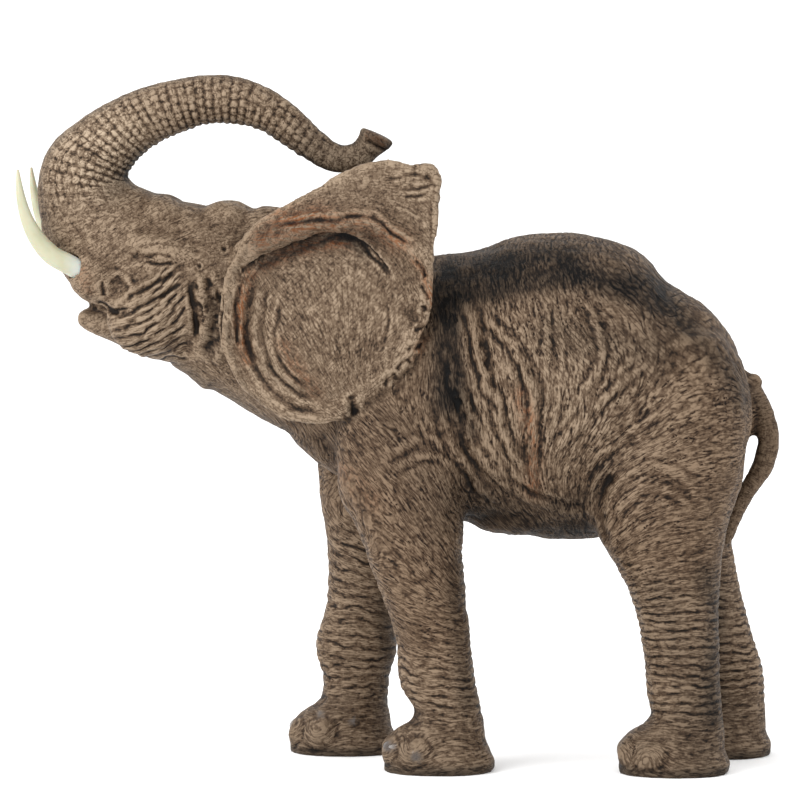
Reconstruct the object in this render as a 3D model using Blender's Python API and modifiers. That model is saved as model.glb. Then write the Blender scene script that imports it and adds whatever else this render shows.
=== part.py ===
"""A cast resin elephant standing with its trunk thrown back over its head, and its two plug-in tusks.

The animal faces -X and stands on Z = 0. Its left side faces -Y. The figure is one casting: limbs, head,
trunk, ears and tail are tubes and shells drawn through a few sections, fused with a voxel remesh, smoothed
as a modeller would smooth clay, creased along the main folds and thinned out to a light mesh. Each tusk
stands in a socket of its own. Soles and sockets are cut last, so that they come out exact.
"""

import math

import bmesh
import bpy
import numpy as np
from mathutils import Vector

# Driving sizes, in metres
FIGURE_LENGTH = 0.306
EAR_THICKNESS = 0.0044
TUSK_DIAMETER = 0.0084
SOCKET_DEPTH = 0.009
SOCKET_CLEARANCE = 0.0003
CLAY_GRAIN = 0.0012

# The pose and the proportions are shares of the figure's length, tusk tips to tail: the stations below are
# drawn for a figure 302.6 units long, so a unit is about a millimetre.
UNIT = FIGURE_LENGTH / 302.6

BODY_TRIANGLES = 8600
RING_POINTS = 40
RINGS_PER_STATION = 6
SMOOTHING_ROUNDS = 12
SEAM_ROUNDS = 50
SOLE_ALLOWANCE = 2.5

# Stations, in units: x, y, z, half depth, half width
TORSO = [
    (-32, 0, 172, 35, 27), (-22, 0, 166, 39, 31), (-8, 0, 158, 45.5, 37), (14, 0, 153, 51.5, 43),
    (38, 0, 150.8, 55.8, 47), (62, 0, 151.6, 61.2, 50), (86, 0, 148, 59, 48), (102, 0, 146, 50.8, 43),
    (117, 0, 146, 42, 36), (130, 0, 145.5, 31, 28), (138, 0, 145.5, 20, 17), (142, 0, 146, 10, 9),
]
NECK = [
    (14, 0, 158, 43, 36), (-10, 0, 163.6, 41.4, 34), (-34, 0, 171.8, 39.6, 31), (-56, 0, 181.2, 36.2, 30),
    (-76, 0, 189, 33.4, 29),
]
HEAD = [
    (-60, 0, 183, 38, 28), (-76, 0, 190, 33, 29), (-92, 0, 197, 29.5, 27), (-107, 0, 205, 26, 24),
    (-118.5, 0, 215, 23.2, 21), (-124.8, 0, 225, 19.6, 18),
]
TRUNK = [
    (-116.6, 0, 213, 23, 20), (-123.6, 0, 224, 19.4, 18), (-125.2, 0, 232, 17.4, 17), (-123.2, 0, 238.6, 16.4, 16),
    (-118, 0, 244.6, 14.9, 15), (-111.6, 0, 250.4, 13.4, 13.8), (-104.4, 0, 255.4, 12.2, 12.8),
    (-95.8, 0, 259.6, 11.4, 12), (-86.2, 0, 262.8, 10.6, 11.2), (-77, 0, 264.8, 10.1, 10.6),
    (-67.6, 0, 265.2, 9.9, 10.2), (-58.6, 0, 263.6, 9.2, 9.6), (-49.2, 0, 259.6, 8, 8.6), (-39.8, 0, 252.2, 7, 7.4),
    (-32, 0, 246.4, 6.3, 6.6), (-25.4, 0, 242.4, 6, 6.1), (-18.8, 0, 241.2, 5.7, 5.6),
    (-13.4, 0, 243, 5.4, 5.4), (-10.2, 0, 246.4, 5.5, 5.5), (-7.6, 0, 249.6, 7.3, 7.2), (-6.6, 0, 251.6, 8.2, 8),
]
LOWER_JAW = [
    (-88, 0, 174.4, 14.6, 18), (-99, 0, 173.6, 12, 16), (-109, 0, 174.8, 8.2, 12.4), (-117, 0, 176, 5.8, 9.6),
    (-122, 0, 177, 4.5, 7.2), (-126.8, 0, 178, 2.8, 4.6),
]
TAIL = [
    (124, 0, 158, 10, 10), (134, -0.5, 154.6, 6.5, 7.5), (141, -0.5, 150, 5, 5.6), (146, -1, 143.4, 4.6, 5),
    (148.8, -1, 136, 4.5, 4.8), (149.4, -1, 128.6, 4.5, 4.7), (147.4, -1.5, 119.6, 4.3, 4.5),
    (142.4, -2, 111.4, 4, 4.2), (138, -2.5, 104.6, 3.9, 4), (134.8, -3, 97, 3.6, 3.8), (132, -3, 88, 2.8, 3.2),
]
NEAR_HIND_LEG = [
    (108, -17, 172, 24, 18), (108, -20, 150, 32, 23), (108, -21.5, 128, 32, 24.5), (107, -23, 112, 31, 24),
    (108, -24, 99, 27, 22), (110, -25, 87, 22, 19), (112.4, -26, 73, 18, 17), (114, -26, 60, 15.8, 15.4),
    (115.2, -26, 46, 14.8, 14.4), (116.2, -26, 32, 14.6, 14.2), (117, -26, 20, 14.8, 14.6), (116, -26, 8, 16.5, 16),
]
FAR_HIND_LEG = [
    (106, 17, 172, 24, 18), (106, 20, 150, 32, 23), (108, 21.5, 128, 32, 24.5), (109, 22, 112, 30, 24),
    (111.6, 22.5, 99, 26.4, 21.5), (116, 23.5, 84, 20.6, 18), (120.6, 25, 72, 17.4, 16), (125, 25, 60, 15.8, 15),
    (129.4, 25, 46, 14.8, 14.4), (134, 25, 32, 14.6, 14.2), (134.6, 25, 20, 14.8, 14.6), (133.4, 25, 8, 16.5, 16),
]
NEAR_FORE_LEG = [
    (10, -21, 168, 24, 16), (8, -24, 150, 29, 19), (6, -26, 128, 27.5, 21), (6.8, -26, 108, 23.4, 20),
    (9.8, -26, 88, 19, 17.6), (13.8, -26, 70, 16.4, 15.8), (17, -25.5, 54, 14.6, 14.6), (18.2, -25.5, 40, 15.2, 14.2),
    (21, -25.5, 28, 14, 13.6), (22.6, -25.5, 19, 14.2, 14.4), (21.8, -25.5, 8, 16.5, 16),
]
FAR_FORE_LEG = [
    (2, 21, 168, 24, 16), (-4, 24, 150, 28, 19), (-9, 25.5, 128, 24.5, 20.5), (-11.6, 26, 104, 19.8, 18.6),
    (-11.2, 26, 80, 16.8, 16.4), (-12.8, 26, 66, 15.6, 15.4), (-14.8, 26, 54, 15, 14.8), (-16.6, 26, 42, 17, 14.6),
    (-16.8, 26, 31, 13.6, 13.4), (-17.8, 26, 22, 14, 14.2), (-18.6, 26, 9, 16.5, 16),
]
FEET = [(112.4, -26), (130, 25), (19.4, -25.5), (-21.6, 26)]
FOOT_HALF_LENGTH = 22.4

# The path of the left tusk from the mouth of its socket to the tip: x, y, z and its diameter as a share of
# the full diameter. The root goes straight back from the mouth along SEAT.
SEAT = Vector((-8.0, -1.4, 4.6)).normalized()
TUSK = [
    (-124.6, -18.6, 198, 1.0), (-129, -19.4, 200.5, 0.99), (-134.8, -20.2, 203.6, 0.96),
    (-140.6, -21, 210.4, 0.82), (-144.6, -21.4, 218.4, 0.62), (-147, -21.4, 227.8, 0.42), (-148, -20.6, 237.6, 0.12),
]

EAR_EDGE = [
    (-60.5, 204), (-64.5, 198), (-67.4, 182), (-66.8, 170), (-63.5, 160), (-59.5, 153), (-52, 146), (-43, 140.4),
    (-33, 138), (-21, 138.5), (-15, 143), (-4, 152), (8, 162), (14, 174.5), (17.6, 183), (18.8, 208), (19.2, 224),
    (20.6, 233), (19, 238), (14.6, 241.4), (9, 240.4), (1, 243), (-8, 241.6), (-20, 236.6), (-27, 231.8), (-38, 226),
    (-50, 219.4), (-58, 211.4),
]


def spline(stations, steps):
    """Points on a smooth curve through the stations: a Catmull-Rom curve, whose slope at each station is
    the slope between its two neighbours. Any number of columns is carried along together."""
    p = np.asarray(stations, float)
    padded = np.vstack([2 * p[0] - p[1], p, 2 * p[-1] - p[-2]])
    t = np.linspace(0, 1, steps, endpoint=False)[:, None]
    out = []
    for a, b, c, d in zip(padded, padded[1:], padded[2:], padded[3:]):
        out.append(0.5 * (2 * b + (c - a) * t + (2 * a - 5 * b + 4 * c - d) * t**2
                          + (3 * b - a - 3 * c + d) * t**3))
    return np.vstack(out + [p[-1:]])


def skin_rings(bm, rings):
    """Faces between successive rings of points, with a flat cap on each end."""
    layers = [[bm.verts.new(point) for point in ring] for ring in rings]
    for low, high in zip(layers, layers[1:]):
        for i in range(len(low)):
            j = (i + 1) % len(low)
            bm.faces.new((low[i], low[j], high[j], high[i]))
    bm.faces.new(reversed(layers[0]))
    bm.faces.new(layers[-1])


def limb(bm, stations, squareness=2.0, belly=0.0, points=RING_POINTS, steps=RINGS_PER_STATION, grow=0.0):
    """A closed tube through stations of (x, y, z, half depth, half width), in units. The half depth lies in
    the side view, across the path, and the half width lies along Y. The section is a superellipse, belly
    widens its underside and narrows its top by that share, and grow is added to both halves."""
    rows = spline(stations, steps)
    centre = rows[:, :3]
    along = np.gradient(centre, axis=0)
    along /= np.linalg.norm(along, axis=1)[:, None]
    side = np.array([0.0, 1.0, 0.0]) - along * along[:, 1:2]
    side /= np.linalg.norm(side, axis=1)[:, None]
    up = np.cross(side, along)
    angle = np.linspace(0, 2 * math.pi, points, endpoint=False)
    c, s = np.cos(angle), np.sin(angle)
    power = 2.0 / squareness
    high = np.sign(s) * np.abs(s) ** power
    wide = np.sign(c) * np.abs(c) ** power * (1 - belly * high)
    rings = (centre[:, None] + up[:, None] * ((rows[:, 3, None] + grow) * high)[..., None]
             + side[:, None] * ((rows[:, 4, None] + grow) * wide)[..., None])
    skin_rings(bm, rings * UNIT)


def lump(bm, centre, radii, tilt=0.0):
    """An ellipsoid, turned about Y by tilt degrees: a positive tilt lowers its +X end."""
    made = bmesh.ops.create_uvsphere(bm, u_segments=24, v_segments=16, radius=1.0)["verts"]
    a = math.radians(tilt)
    for v in made:
        x, y, z = (v.co[i] * radii[i] for i in range(3))
        v.co = Vector((x * math.cos(a) + z * math.sin(a) + centre[0], y + centre[1],
                       z * math.cos(a) - x * math.sin(a) + centre[2])) * UNIT


def both_sides(bm, centre, radii, tilt=0.0):
    """The same lump on the left and on the right."""
    for side in (-1, 1):
        lump(bm, (centre[0], side * centre[1], centre[2]), radii, tilt)


def foot(bm, x, y):
    """The spread pad of a foot with four blunt toes round its front. It reaches a little below the floor,
    where the sole is cut off flat."""
    long = FOOT_HALF_LENGTH
    wide = 0.86 * long
    limb(bm, [
        (x + 2.6, y, 18, 0.68 * long, 0.74 * wide), (x + 1.2, y, 13, 0.86 * long, 0.88 * wide),
        (x + 0.2, y, 8, 0.97 * long, 0.97 * wide), (x, y, 3.5, long, wide),
        (x + 0.2, y, 0, 0.98 * long, 0.98 * wide), (x + 0.4, y, -SOLE_ALLOWANCE - 1, 0.9 * long, 0.92 * wide),
    ], squareness=2.2)
    for turn in (-64, -23, 20, 62):
        a = math.radians(turn)
        lump(bm, (x - 0.78 * long * math.cos(a), y + 0.80 * wide * math.sin(a), 7.2), (5.8, 5.2, 6.4))


def ear_depth(x, z):
    """How far the ear stands out from the middle, in units. It leans outwards to the rear. The upper part
    breaks outwards over a ridge that overhangs the dish, the middle of the dish is slightly domed, and the
    front edge is rolled."""
    lean = 31 + 15 * np.clip((x + 66) / 84, 0, 1.1) ** 0.9
    fold = 203 + 16 * np.exp(-(((x + 16) / 30) ** 2)) - 6 * np.clip((x + 5) / 20, 0, 1)
    above = z - fold
    ridge = 5.2 * np.exp(-((above / 5.5) ** 2)) + 3.2 / (1 + np.exp(-above / 2.5)) - 0.07 * np.clip(above, 0, 60)
    ridge *= np.clip((x + 66) / 12, 0, 1)
    dish = -3.6 * np.exp(-(((x + 54) / 7) ** 2) - ((z - 178) / 26) ** 2)
    dome = 3.2 * np.exp(-(((x + 26) / 22) ** 2) - ((z - 178) / 24) ** 2)
    rolled = 2.4 * np.exp(-(((x + 66) / 5) ** 2))
    wave = 1.6 * np.sin(0.35 * (z - 150)) * np.clip((x - 2) / 14, 0, 1) * np.clip((215 - z) / 20, 0, 1)
    return lean + ridge + dish + dome + rolled + wave


def ear(bm, side, shift, drop):
    """An ear as a dished plate of even thickness. Its rings shrink from the edge to the middle, once on the
    outer face and once on the inner. Shift moves it back, and drop lowers its top."""
    looped = np.array(EAR_EDGE[-1:] + EAR_EDGE + EAR_EDGE[:2], float)
    edge = spline(looped, 5)[5:-6]
    middle = edge.mean(axis=0)
    half = 0.5 * EAR_THICKNESS / UNIT
    shares = np.linspace(1.0, 0.04, 22)
    faces = []
    for turn in (1, -1):
        for share in shares:
            flat = middle + (edge - middle) * share
            thin = half * (0.5 if share == 1.0 else 1.0)
            depth = ear_depth(flat[:, 0], flat[:, 1]) + turn * thin
            z = flat[:, 1] - drop * np.clip((flat[:, 1] - 180) / 60, 0, 1)
            faces.append(np.column_stack([flat[:, 0] + shift, side * depth, z]))
    count = len(shares)
    rings = faces[count - 1::-1] + faces[count:]
    skin_rings(bm, np.array(rings) * UNIT)


def clay_masses():
    """Every mass of the animal as overlapping closed shapes in one mesh."""
    bm = bmesh.new()
    limb(bm, TORSO, squareness=2.15, belly=0.12)
    limb(bm, NECK, squareness=2.1)
    limb(bm, HEAD, squareness=2.1)
    limb(bm, TRUNK)
    limb(bm, LOWER_JAW, squareness=2.2)
    limb(bm, TAIL)
    for leg in (NEAR_HIND_LEG, FAR_HIND_LEG, NEAR_FORE_LEG, FAR_FORE_LEG):
        limb(bm, leg, squareness=2.2)
    for x, y in FEET:
        foot(bm, x, y)
    ear(bm, -1, 0, 0)
    ear(bm, 1, -5, 10)
    both_sides(bm, (-67, 7, 208), (16, 13, 17))
    both_sides(bm, (-94, 6, 212), (15, 15, 15.5), 12)
    both_sides(bm, (-50, 10, 207), (14, 12, 15.5))
    both_sides(bm, (-88, 23, 205), (17, 6.5, 6), 18)
    both_sides(bm, (-97, 19, 181), (16, 11, 18), 25)
    both_sides(bm, (-117, 17, 194.5), (12.5, 8.6, 10.5), 28)
    both_sides(bm, (-50, 27, 204), (14, 7, 10), -15)
    both_sides(bm, (0, 27, 152), (22, 15, 34), -12)
    both_sides(bm, (-6, 25, 116), (15, 18, 20))
    both_sides(bm, (99, 23, 166), (21, 17, 20), 35)
    both_sides(bm, (119, 15, 142), (24, 19.5, 34))
    lump(bm, (56, 0, 98.6), (26, 24, 7), -3)
    lump(bm, (143.5, 0, 153.4), (4, 4, 3.2))
    bmesh.ops.recalc_face_normals(bm, faces=bm.faces)
    mesh = bpy.data.meshes.new("clay")
    bm.to_mesh(mesh)
    bm.free()
    return mesh


def distance_to_path(points, path):
    """The distance from each point to an open line of straight segments, and how far along that line the
    nearest place lies, as a share."""
    path = np.asarray(path, float)
    best = np.full(len(points), 1e9)
    share = np.zeros(len(points))
    lengths = np.linalg.norm(np.diff(path, axis=0), axis=1)
    before = 0.0
    for a, b, length in zip(path, path[1:], lengths):
        t = np.clip(((points - a) @ (b - a)) / length**2, 0, 1)
        gap = np.linalg.norm(points - a - t[:, None] * (b - a), axis=1)
        nearer = gap < best
        best[nearer] = gap[nearer]
        share[nearer] = (before + t[nearer] * length) / lengths.sum()
        before += length
    return best, share


# The main folds, in units: the path in the side view as (x, z) points, half width and depth
CREASES = [
    ([(-127, 184), (-121, 182.5), (-113, 181), (-107, 181.5), (-103, 184)], 2.2, 2.6),
    ([(-73, 189), (-74, 180), (-78, 171), (-86, 163)], 3.4, 2.6),
    ([(-119, 192), (-120, 183)], 1.8, 1.0),
    ([(-104, 203), (-97, 203.5), (-91, 203)], 2.2, 0.8),
    ([(22, 186), (26, 160), (31, 138), (36, 120)], 4.2, 1.8),
    ([(32, 192), (38, 168), (44, 146), (50, 126)], 4.2, 1.6),
    ([(74, 124), (80, 110), (89, 97)], 4.6, 1.2),
    ([(31, 122), (28, 108), (26, 98)], 4.0, 1.4),
    ([(-30, 134), (-24, 124), (-22, 112)], 3.2, 1.6),
]


def press_folds(mesh):
    """Sinks the main folds into the flanks of the smoothed clay, the same on both sides."""
    count = len(mesh.vertices)
    points = np.empty(count * 3, np.float32)
    normals = np.empty(count * 3, np.float32)
    mesh.vertices.foreach_get("co", points)
    mesh.vertex_normals.foreach_get("vector", normals)
    points = points.reshape(-1, 3).astype(float) / UNIT
    normals = normals.reshape(-1, 3).astype(float)
    facing = np.clip(np.abs(normals[:, 1]) * 1.6 - 0.2, 0, 1)
    sink = np.zeros(count)
    for path, width, depth in CREASES:
        gap, share = distance_to_path(points[:, [0, 2]], path)
        ends = np.clip(np.minimum(share, 1 - share) * 6, 0.15, 1)
        sink += depth * np.exp(-((gap / width) ** 2)) * ends
    points -= normals * (sink * facing)[:, None]
    mesh.vertices.foreach_set("co", (points * UNIT).astype(np.float32).ravel())
    mesh.update()


def soften_seams(body):
    """Evens out the seams between the masses of back, belly, hips and shoulders. Ears, head, tail and feet
    keep their crispness."""
    group = body.vertex_groups.new(name="body_seams")
    for v in body.data.vertices:
        x, y, z = v.co / UNIT
        inside = min((x - 22) / 12, (136 - x) / 8, (z - 92) / 14, 1.0)
        if inside > 0:
            group.add([v.index], inside, "REPLACE")
    soften = body.modifiers.new("soften_seams", "SMOOTH")
    soften.factor = 0.5
    soften.iterations = SEAM_ROUNDS
    soften.vertex_group = group.name


def closed_object(name, collection, bm):
    bmesh.ops.recalc_face_normals(bm, faces=bm.faces)
    mesh = bpy.data.meshes.new(name)
    bm.to_mesh(mesh)
    bm.free()
    obj = bpy.data.objects.new(name, mesh)
    collection.objects.link(obj)
    return obj


def seat_point(side, out):
    """A point on the axis of the socket, out units beyond its mouth."""
    x, y, z = Vector(TUSK[0][:3]) + SEAT * out
    return x, -side * y, z


def tusk(side, name, collection):
    half = 0.5 * TUSK_DIAMETER / UNIT
    depth = SOCKET_DEPTH / UNIT
    root = [(*seat_point(side, -depth), half * 0.97, half * 0.97), (*seat_point(side, -0.4 * depth), half, half)]
    shaft = [(x, -side * y, z, half * share, half * share) for x, y, z, share in TUSK]
    bm = bmesh.new()
    limb(bm, root + shaft, points=14, steps=2)
    return closed_object(name, collection, bm)


def socket_cutter(side, name, collection):
    """The tusk's root, larger by the clearance all round and carried past the mouth of the socket."""
    half = 0.5 * TUSK_DIAMETER / UNIT
    gap = SOCKET_CLEARANCE / UNIT
    depth = SOCKET_DEPTH / UNIT
    stations = [(*seat_point(side, out), half, half) for out in (-depth - gap, 0, 7)]
    bm = bmesh.new()
    limb(bm, stations, points=24, steps=1, grow=gap)
    return closed_object(name, collection, bm)


def slab_cutter(name, collection):
    """Everything below the floor."""
    bm = bmesh.new()
    bmesh.ops.create_cube(bm, size=1.0)
    for v in bm.verts:
        v.co = Vector((v.co.x * 400, v.co.y * 240, v.co.z * 20 - 10)) * UNIT
    return closed_object(name, collection, bm)


def material(name, colour, roughness):
    made = bpy.data.materials.new(name)
    made.use_nodes = True
    shader = made.node_tree.nodes["Principled BSDF"]
    shader.inputs["Base Color"].default_value = (*colour, 1.0)
    shader.inputs["Roughness"].default_value = roughness
    return made


def cut(body, cutter, name):
    step = body.modifiers.new(name, "BOOLEAN")
    step.operation = "DIFFERENCE"
    step.solver = "EXACT"
    step.object = cutter
    cutter.hide_render = True
    cutter.display_type = "WIRE"


def main():
    for obj in list(bpy.data.objects):
        bpy.data.objects.remove(obj)
    scene = bpy.context.scene
    parts = bpy.data.collections.new("elephant_figurine")
    cutters = bpy.data.collections.new("cutters")
    scene.collection.children.link(parts)
    scene.collection.children.link(cutters)

    body = bpy.data.objects.new("elephant_cast", clay_masses())
    parts.objects.link(body)
    fuse = body.modifiers.new("fuse", "REMESH")
    fuse.mode = "VOXEL"
    fuse.voxel_size = CLAY_GRAIN
    smooth = body.modifiers.new("smooth", "SMOOTH")
    smooth.factor = 0.5
    smooth.iterations = SMOOTHING_ROUNDS
    clay = bpy.data.meshes.new_from_object(body.evaluated_get(bpy.context.evaluated_depsgraph_get()))
    press_folds(clay)
    body.modifiers.clear()
    body.data = clay
    soften_seams(body)

    thin = body.modifiers.new("thin_out", "DECIMATE")
    clay.calc_loop_triangles()
    thin.ratio = BODY_TRIANGLES / len(clay.loop_triangles)
    cut(body, slab_cutter("floor_cutter", cutters), "flat_soles")
    tusks = []
    for side, name in ((-1, "left"), (1, "right")):
        cut(body, socket_cutter(side, name + "_socket_cutter", cutters), name + "_socket")
        tusks.append(tusk(side, name + "_tusk", parts))

    body.data.materials.append(material("antiqued_resin", (0.33, 0.26, 0.2), 0.6))
    ivory = (0.77, 0.74, 0.55)
    for obj in tusks:
        obj.data.materials.append(material(obj.name + "_ivory_resin", ivory, 0.35))

    # The origin is moved under the middle of the whole figure.
    length = [v.co.x for obj in (body, *tusks) for v in obj.data.vertices]
    width = [v.co.y for v in body.data.vertices]
    shift = Vector((-0.5 * (min(length) + max(length)), -0.5 * (min(width) + max(width)), 0.0))
    for obj in (*parts.objects, *cutters.objects):
        for v in obj.data.vertices:
            v.co += shift


main()
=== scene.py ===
"""Looks of the cast resin elephant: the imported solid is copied, refined and carved with flow-following
wrinkles, then painted as antiqued polyresin. The tusks get their own ivory resin.

All working sizes below are in millimetres unless a name ends in _m. The animal faces -X, its left side
faces -Y, and it stands on Z = 0.
"""

import math

import bmesh
import bpy
import numpy as np
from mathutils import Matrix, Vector


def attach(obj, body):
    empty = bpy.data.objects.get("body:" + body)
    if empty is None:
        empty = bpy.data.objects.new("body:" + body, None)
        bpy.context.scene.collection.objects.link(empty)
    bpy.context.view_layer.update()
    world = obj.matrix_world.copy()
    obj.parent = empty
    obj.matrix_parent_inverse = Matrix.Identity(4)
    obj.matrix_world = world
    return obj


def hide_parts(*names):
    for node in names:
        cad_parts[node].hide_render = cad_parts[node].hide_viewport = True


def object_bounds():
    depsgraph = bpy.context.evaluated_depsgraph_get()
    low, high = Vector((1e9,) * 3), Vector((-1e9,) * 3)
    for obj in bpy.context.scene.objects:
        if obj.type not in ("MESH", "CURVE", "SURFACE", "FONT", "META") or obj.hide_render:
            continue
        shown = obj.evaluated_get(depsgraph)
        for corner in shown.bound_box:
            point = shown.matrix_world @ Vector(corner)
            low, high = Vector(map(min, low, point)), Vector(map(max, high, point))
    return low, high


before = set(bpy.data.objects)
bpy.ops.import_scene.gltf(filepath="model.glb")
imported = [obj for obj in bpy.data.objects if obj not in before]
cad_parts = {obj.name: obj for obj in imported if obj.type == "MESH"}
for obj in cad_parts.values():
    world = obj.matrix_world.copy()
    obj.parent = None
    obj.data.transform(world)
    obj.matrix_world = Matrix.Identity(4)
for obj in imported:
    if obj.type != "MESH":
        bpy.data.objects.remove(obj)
cad_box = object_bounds()

MM = 0.001
COARSE_GRAIN = 1.15  # side of a voxel of the first remesh, which is halved later
TRIANGLE_LIMIT = 197000
# What the paint reads of the carved skin
PAINT_FIELDS = ("flow", "pace", "warp", "weft", "relief", "hatch", "scribble", "light", "rust", "soot",
                "nail")

# The photograph's camera: where it aims, how far off it stands, and the millimetres a pixel covers there.
# The figure measures 302.6 mm at 0.4 mm a pixel and is 306 mm long.
AIM = np.array([0.0, 0.0, 146.8])
DISTANCE = 1921.0
PHOTO_SIDE = 800
PIXEL = 0.4 * (306.0 / 302.6)
VIEW_AZIMUTH, VIEW_ELEVATION = math.radians(3.0), math.radians(4.0)
BACK = np.array([math.sin(VIEW_AZIMUTH) * math.cos(VIEW_ELEVATION),
                 -math.cos(VIEW_AZIMUTH) * math.cos(VIEW_ELEVATION), math.sin(VIEW_ELEVATION)])
RIGHT = np.array([math.cos(VIEW_AZIMUTH), math.sin(VIEW_AZIMUTH), 0.0])
UP = np.cross(BACK, RIGHT)


def seen(u, v, y=0.0):
    """The (x, z) of the point that the photograph shows at column u, row v, on the plane at this y. The ray
    leaves the camera through that pixel and is followed until it meets the plane."""
    u, v, y = (np.asarray(a, float) for a in (u, v, y))
    eye = AIM + BACK * DISTANCE
    middle = PHOTO_SIDE / 2
    ray = (-BACK * DISTANCE + RIGHT * ((u - middle) * PIXEL)[..., None]
           + UP * ((middle - v) * PIXEL)[..., None])
    t = (y - eye[1]) / ray[..., 1]
    return np.stack([eye[0] + t * ray[..., 0], eye[2] + t * ray[..., 2]], axis=-1)


def smoothstep(low, high, value):
    """0 below low, 1 above high, and 3t^2 - 2t^3 between."""
    t = np.clip((value - low) / (high - low), 0, 1)
    return t * t * (3 - 2 * t)


def hump(distance, wide):
    """A gaussian of the distance: 1 at 0 and exp(-1) at this width."""
    return np.exp(-(distance / wide)**2)


def lattice_noise(points, seed):
    """Gradient noise in any number of dimensions, about -1 to 1: each lattice corner holds a random
    gradient, and a point blends the gradients' heights with quintic weights."""
    cell = np.floor(points)
    inside = points - cell
    cell = cell.astype(np.int64)
    fade = inside**3 * (inside * (inside * 6 - 15) + 10)
    count, dims = points.shape
    # Large numbers that scramble a corner's cell into the bits of its gradient
    factors = (374761393, 668265263, 2147483647, 1274126177)
    total = np.zeros(count)
    for corner in range(2**dims):
        weight = np.ones(count)
        mixed = np.full(count, seed * 144665 + 1013904223, np.int64)
        for axis in range(dims):
            bit = corner >> axis & 1
            weight *= fade[:, axis] if bit else 1 - fade[:, axis]
            mixed ^= (cell[:, axis] + bit) * factors[axis] & 0xFFFFFFFF
            mixed = (mixed ^ mixed >> 15) * 2246822519 & 0xFFFFFFFF
        mixed ^= mixed >> 13
        height = np.zeros(count)
        for axis in range(dims):
            bit = corner >> axis & 1
            slope = (mixed >> (7 * axis) & 127) / 63.5 - 1
            height += slope * (inside[:, axis] - bit)
        total += weight * height
    return total * 1.6


def catmull(stations, steps):
    """Points on a smooth curve through the stations, whose slope at each is the slope between its
    neighbours."""
    p = np.asarray(stations, float)
    padded = np.vstack([2 * p[0] - p[1], p, 2 * p[-1] - p[-2]])
    t = np.linspace(0, 1, steps, endpoint=False)[:, None]
    out = [0.5 * (2 * b + (c - a) * t + (2 * a - 5 * b + 4 * c - d) * t**2 + (3 * b - a - 3 * c + d) * t**3)
           for a, b, c, d in zip(padded, padded[1:], padded[2:], padded[3:])]
    return np.vstack(out + [p[-1:]])


def distance_to_path(points, path, closed=False):
    """Distance from each point to a line of straight segments, and the share of its length where the
    nearest place lies."""
    path = np.asarray(path, float)
    if closed:
        path = np.vstack([path, path[:1]])
    best = np.full(len(points), np.inf)
    share = np.zeros(len(points))
    lengths = np.linalg.norm(np.diff(path, axis=0), axis=1)
    before = 0.0
    for a, b, length in zip(path, path[1:], lengths):
        t = np.clip(((points - a) @ (b - a)) / length**2, 0, 1)
        gap = np.linalg.norm(points - a - t[:, None] * (b - a), axis=1)
        nearer = gap < best
        best = np.where(nearer, gap, best)
        share = np.where(nearer, (before + t * length) / lengths.sum(), share)
        before += length
    return best, share


def inside_outline(points, outline):
    """True where a point lies inside a closed outline: a ray to the right crosses it an odd number of
    times."""
    x, z = points.T
    odd = np.zeros(len(points), bool)
    for (x0, z0), (x1, z1) in zip(outline, np.roll(outline, -1, axis=0)):
        crosses = (z0 > z) != (z1 > z)
        odd ^= crosses & (x < (x1 - x0) * (z - z0) / (z1 - z0 + 1e-12) + x0)
    return odd


class Skin:
    """A mesh of quads as arrays: points in millimetres, faces, edges and per-point fields."""

    def __init__(self, points, faces, edges):
        """Faces hold four point numbers each, edges two."""
        self.points, self.faces, self.edges = points, faces, edges
        self.fields = {}

    def normals(self):
        """Area-weighted mean of the faces round each point."""
        p = self.points[self.faces]
        across = np.cross(p[:, 2] - p[:, 0], p[:, 3] - p[:, 1])
        out = np.zeros_like(self.points)
        for corner in range(4):
            for axis in range(3):
                out[:, axis] += np.bincount(self.faces[:, corner], across[:, axis], len(out))
        return out / np.maximum(np.linalg.norm(out, axis=1), 1e-12)[:, None]

    def spread(self, values, rounds, factor=0.5):
        """Each round moves every value this share of the way to its neighbours' mean."""
        a, b = self.edges.T
        count = len(self.points)
        degree = np.maximum(np.bincount(a, minlength=count) + np.bincount(b, minlength=count), 1)
        values = np.array(values, float)
        flat = values.reshape(count, -1)
        for _ in range(rounds):
            for column in range(flat.shape[1]):
                v = flat[:, column]
                near = np.bincount(a, v[b], count) + np.bincount(b, v[a], count)
                flat[:, column] = v + factor * (near / degree - v)
        return flat.reshape(values.shape)

    def fair(self, rounds):
        """Taubin smoothing: a shrinking pass and a slightly stronger swelling pass, in turn, which evens
        out facets but keeps the volume."""
        for _ in range(rounds):
            self.points = self.spread(self.points, 1, 0.55)
            self.points = self.spread(self.points, 1, -0.58)

    def split(self):
        """Every quad becomes four: new points at the middles of edges and faces."""
        count, edge_count = len(self.points), len(self.edges)
        key = np.sort(self.edges, axis=1) @ np.array([count, 1])
        order = np.argsort(key)
        corners = self.faces
        sides = np.stack([corners, np.roll(corners, -1, axis=1)], axis=-1)
        side_key = np.sort(sides, axis=-1) @ np.array([count, 1])
        middle = count + order[np.searchsorted(key[order], side_key)]
        centre = count + edge_count + np.arange(len(corners))
        faces, edges = [], []
        for i in range(4):
            faces.append(np.stack([corners[:, i], middle[:, i], centre, middle[:, i - 1]], axis=1))
            edges.append(np.stack([middle[:, i], centre], axis=1))
        halves = count + np.arange(edge_count)
        edges += [np.stack([self.edges[:, 0], halves], 1), np.stack([halves, self.edges[:, 1]], 1)]

        def carried(values):
            """The old points' values, then the edges' means, then the faces' means."""
            return np.concatenate([values, values[self.edges].mean(axis=1), values[corners].mean(axis=1)])

        finer = Skin(carried(self.points), np.vstack(faces), np.vstack(edges))
        finer.fields = {name: carried(values) for name, values in self.fields.items()}
        return finer


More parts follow.
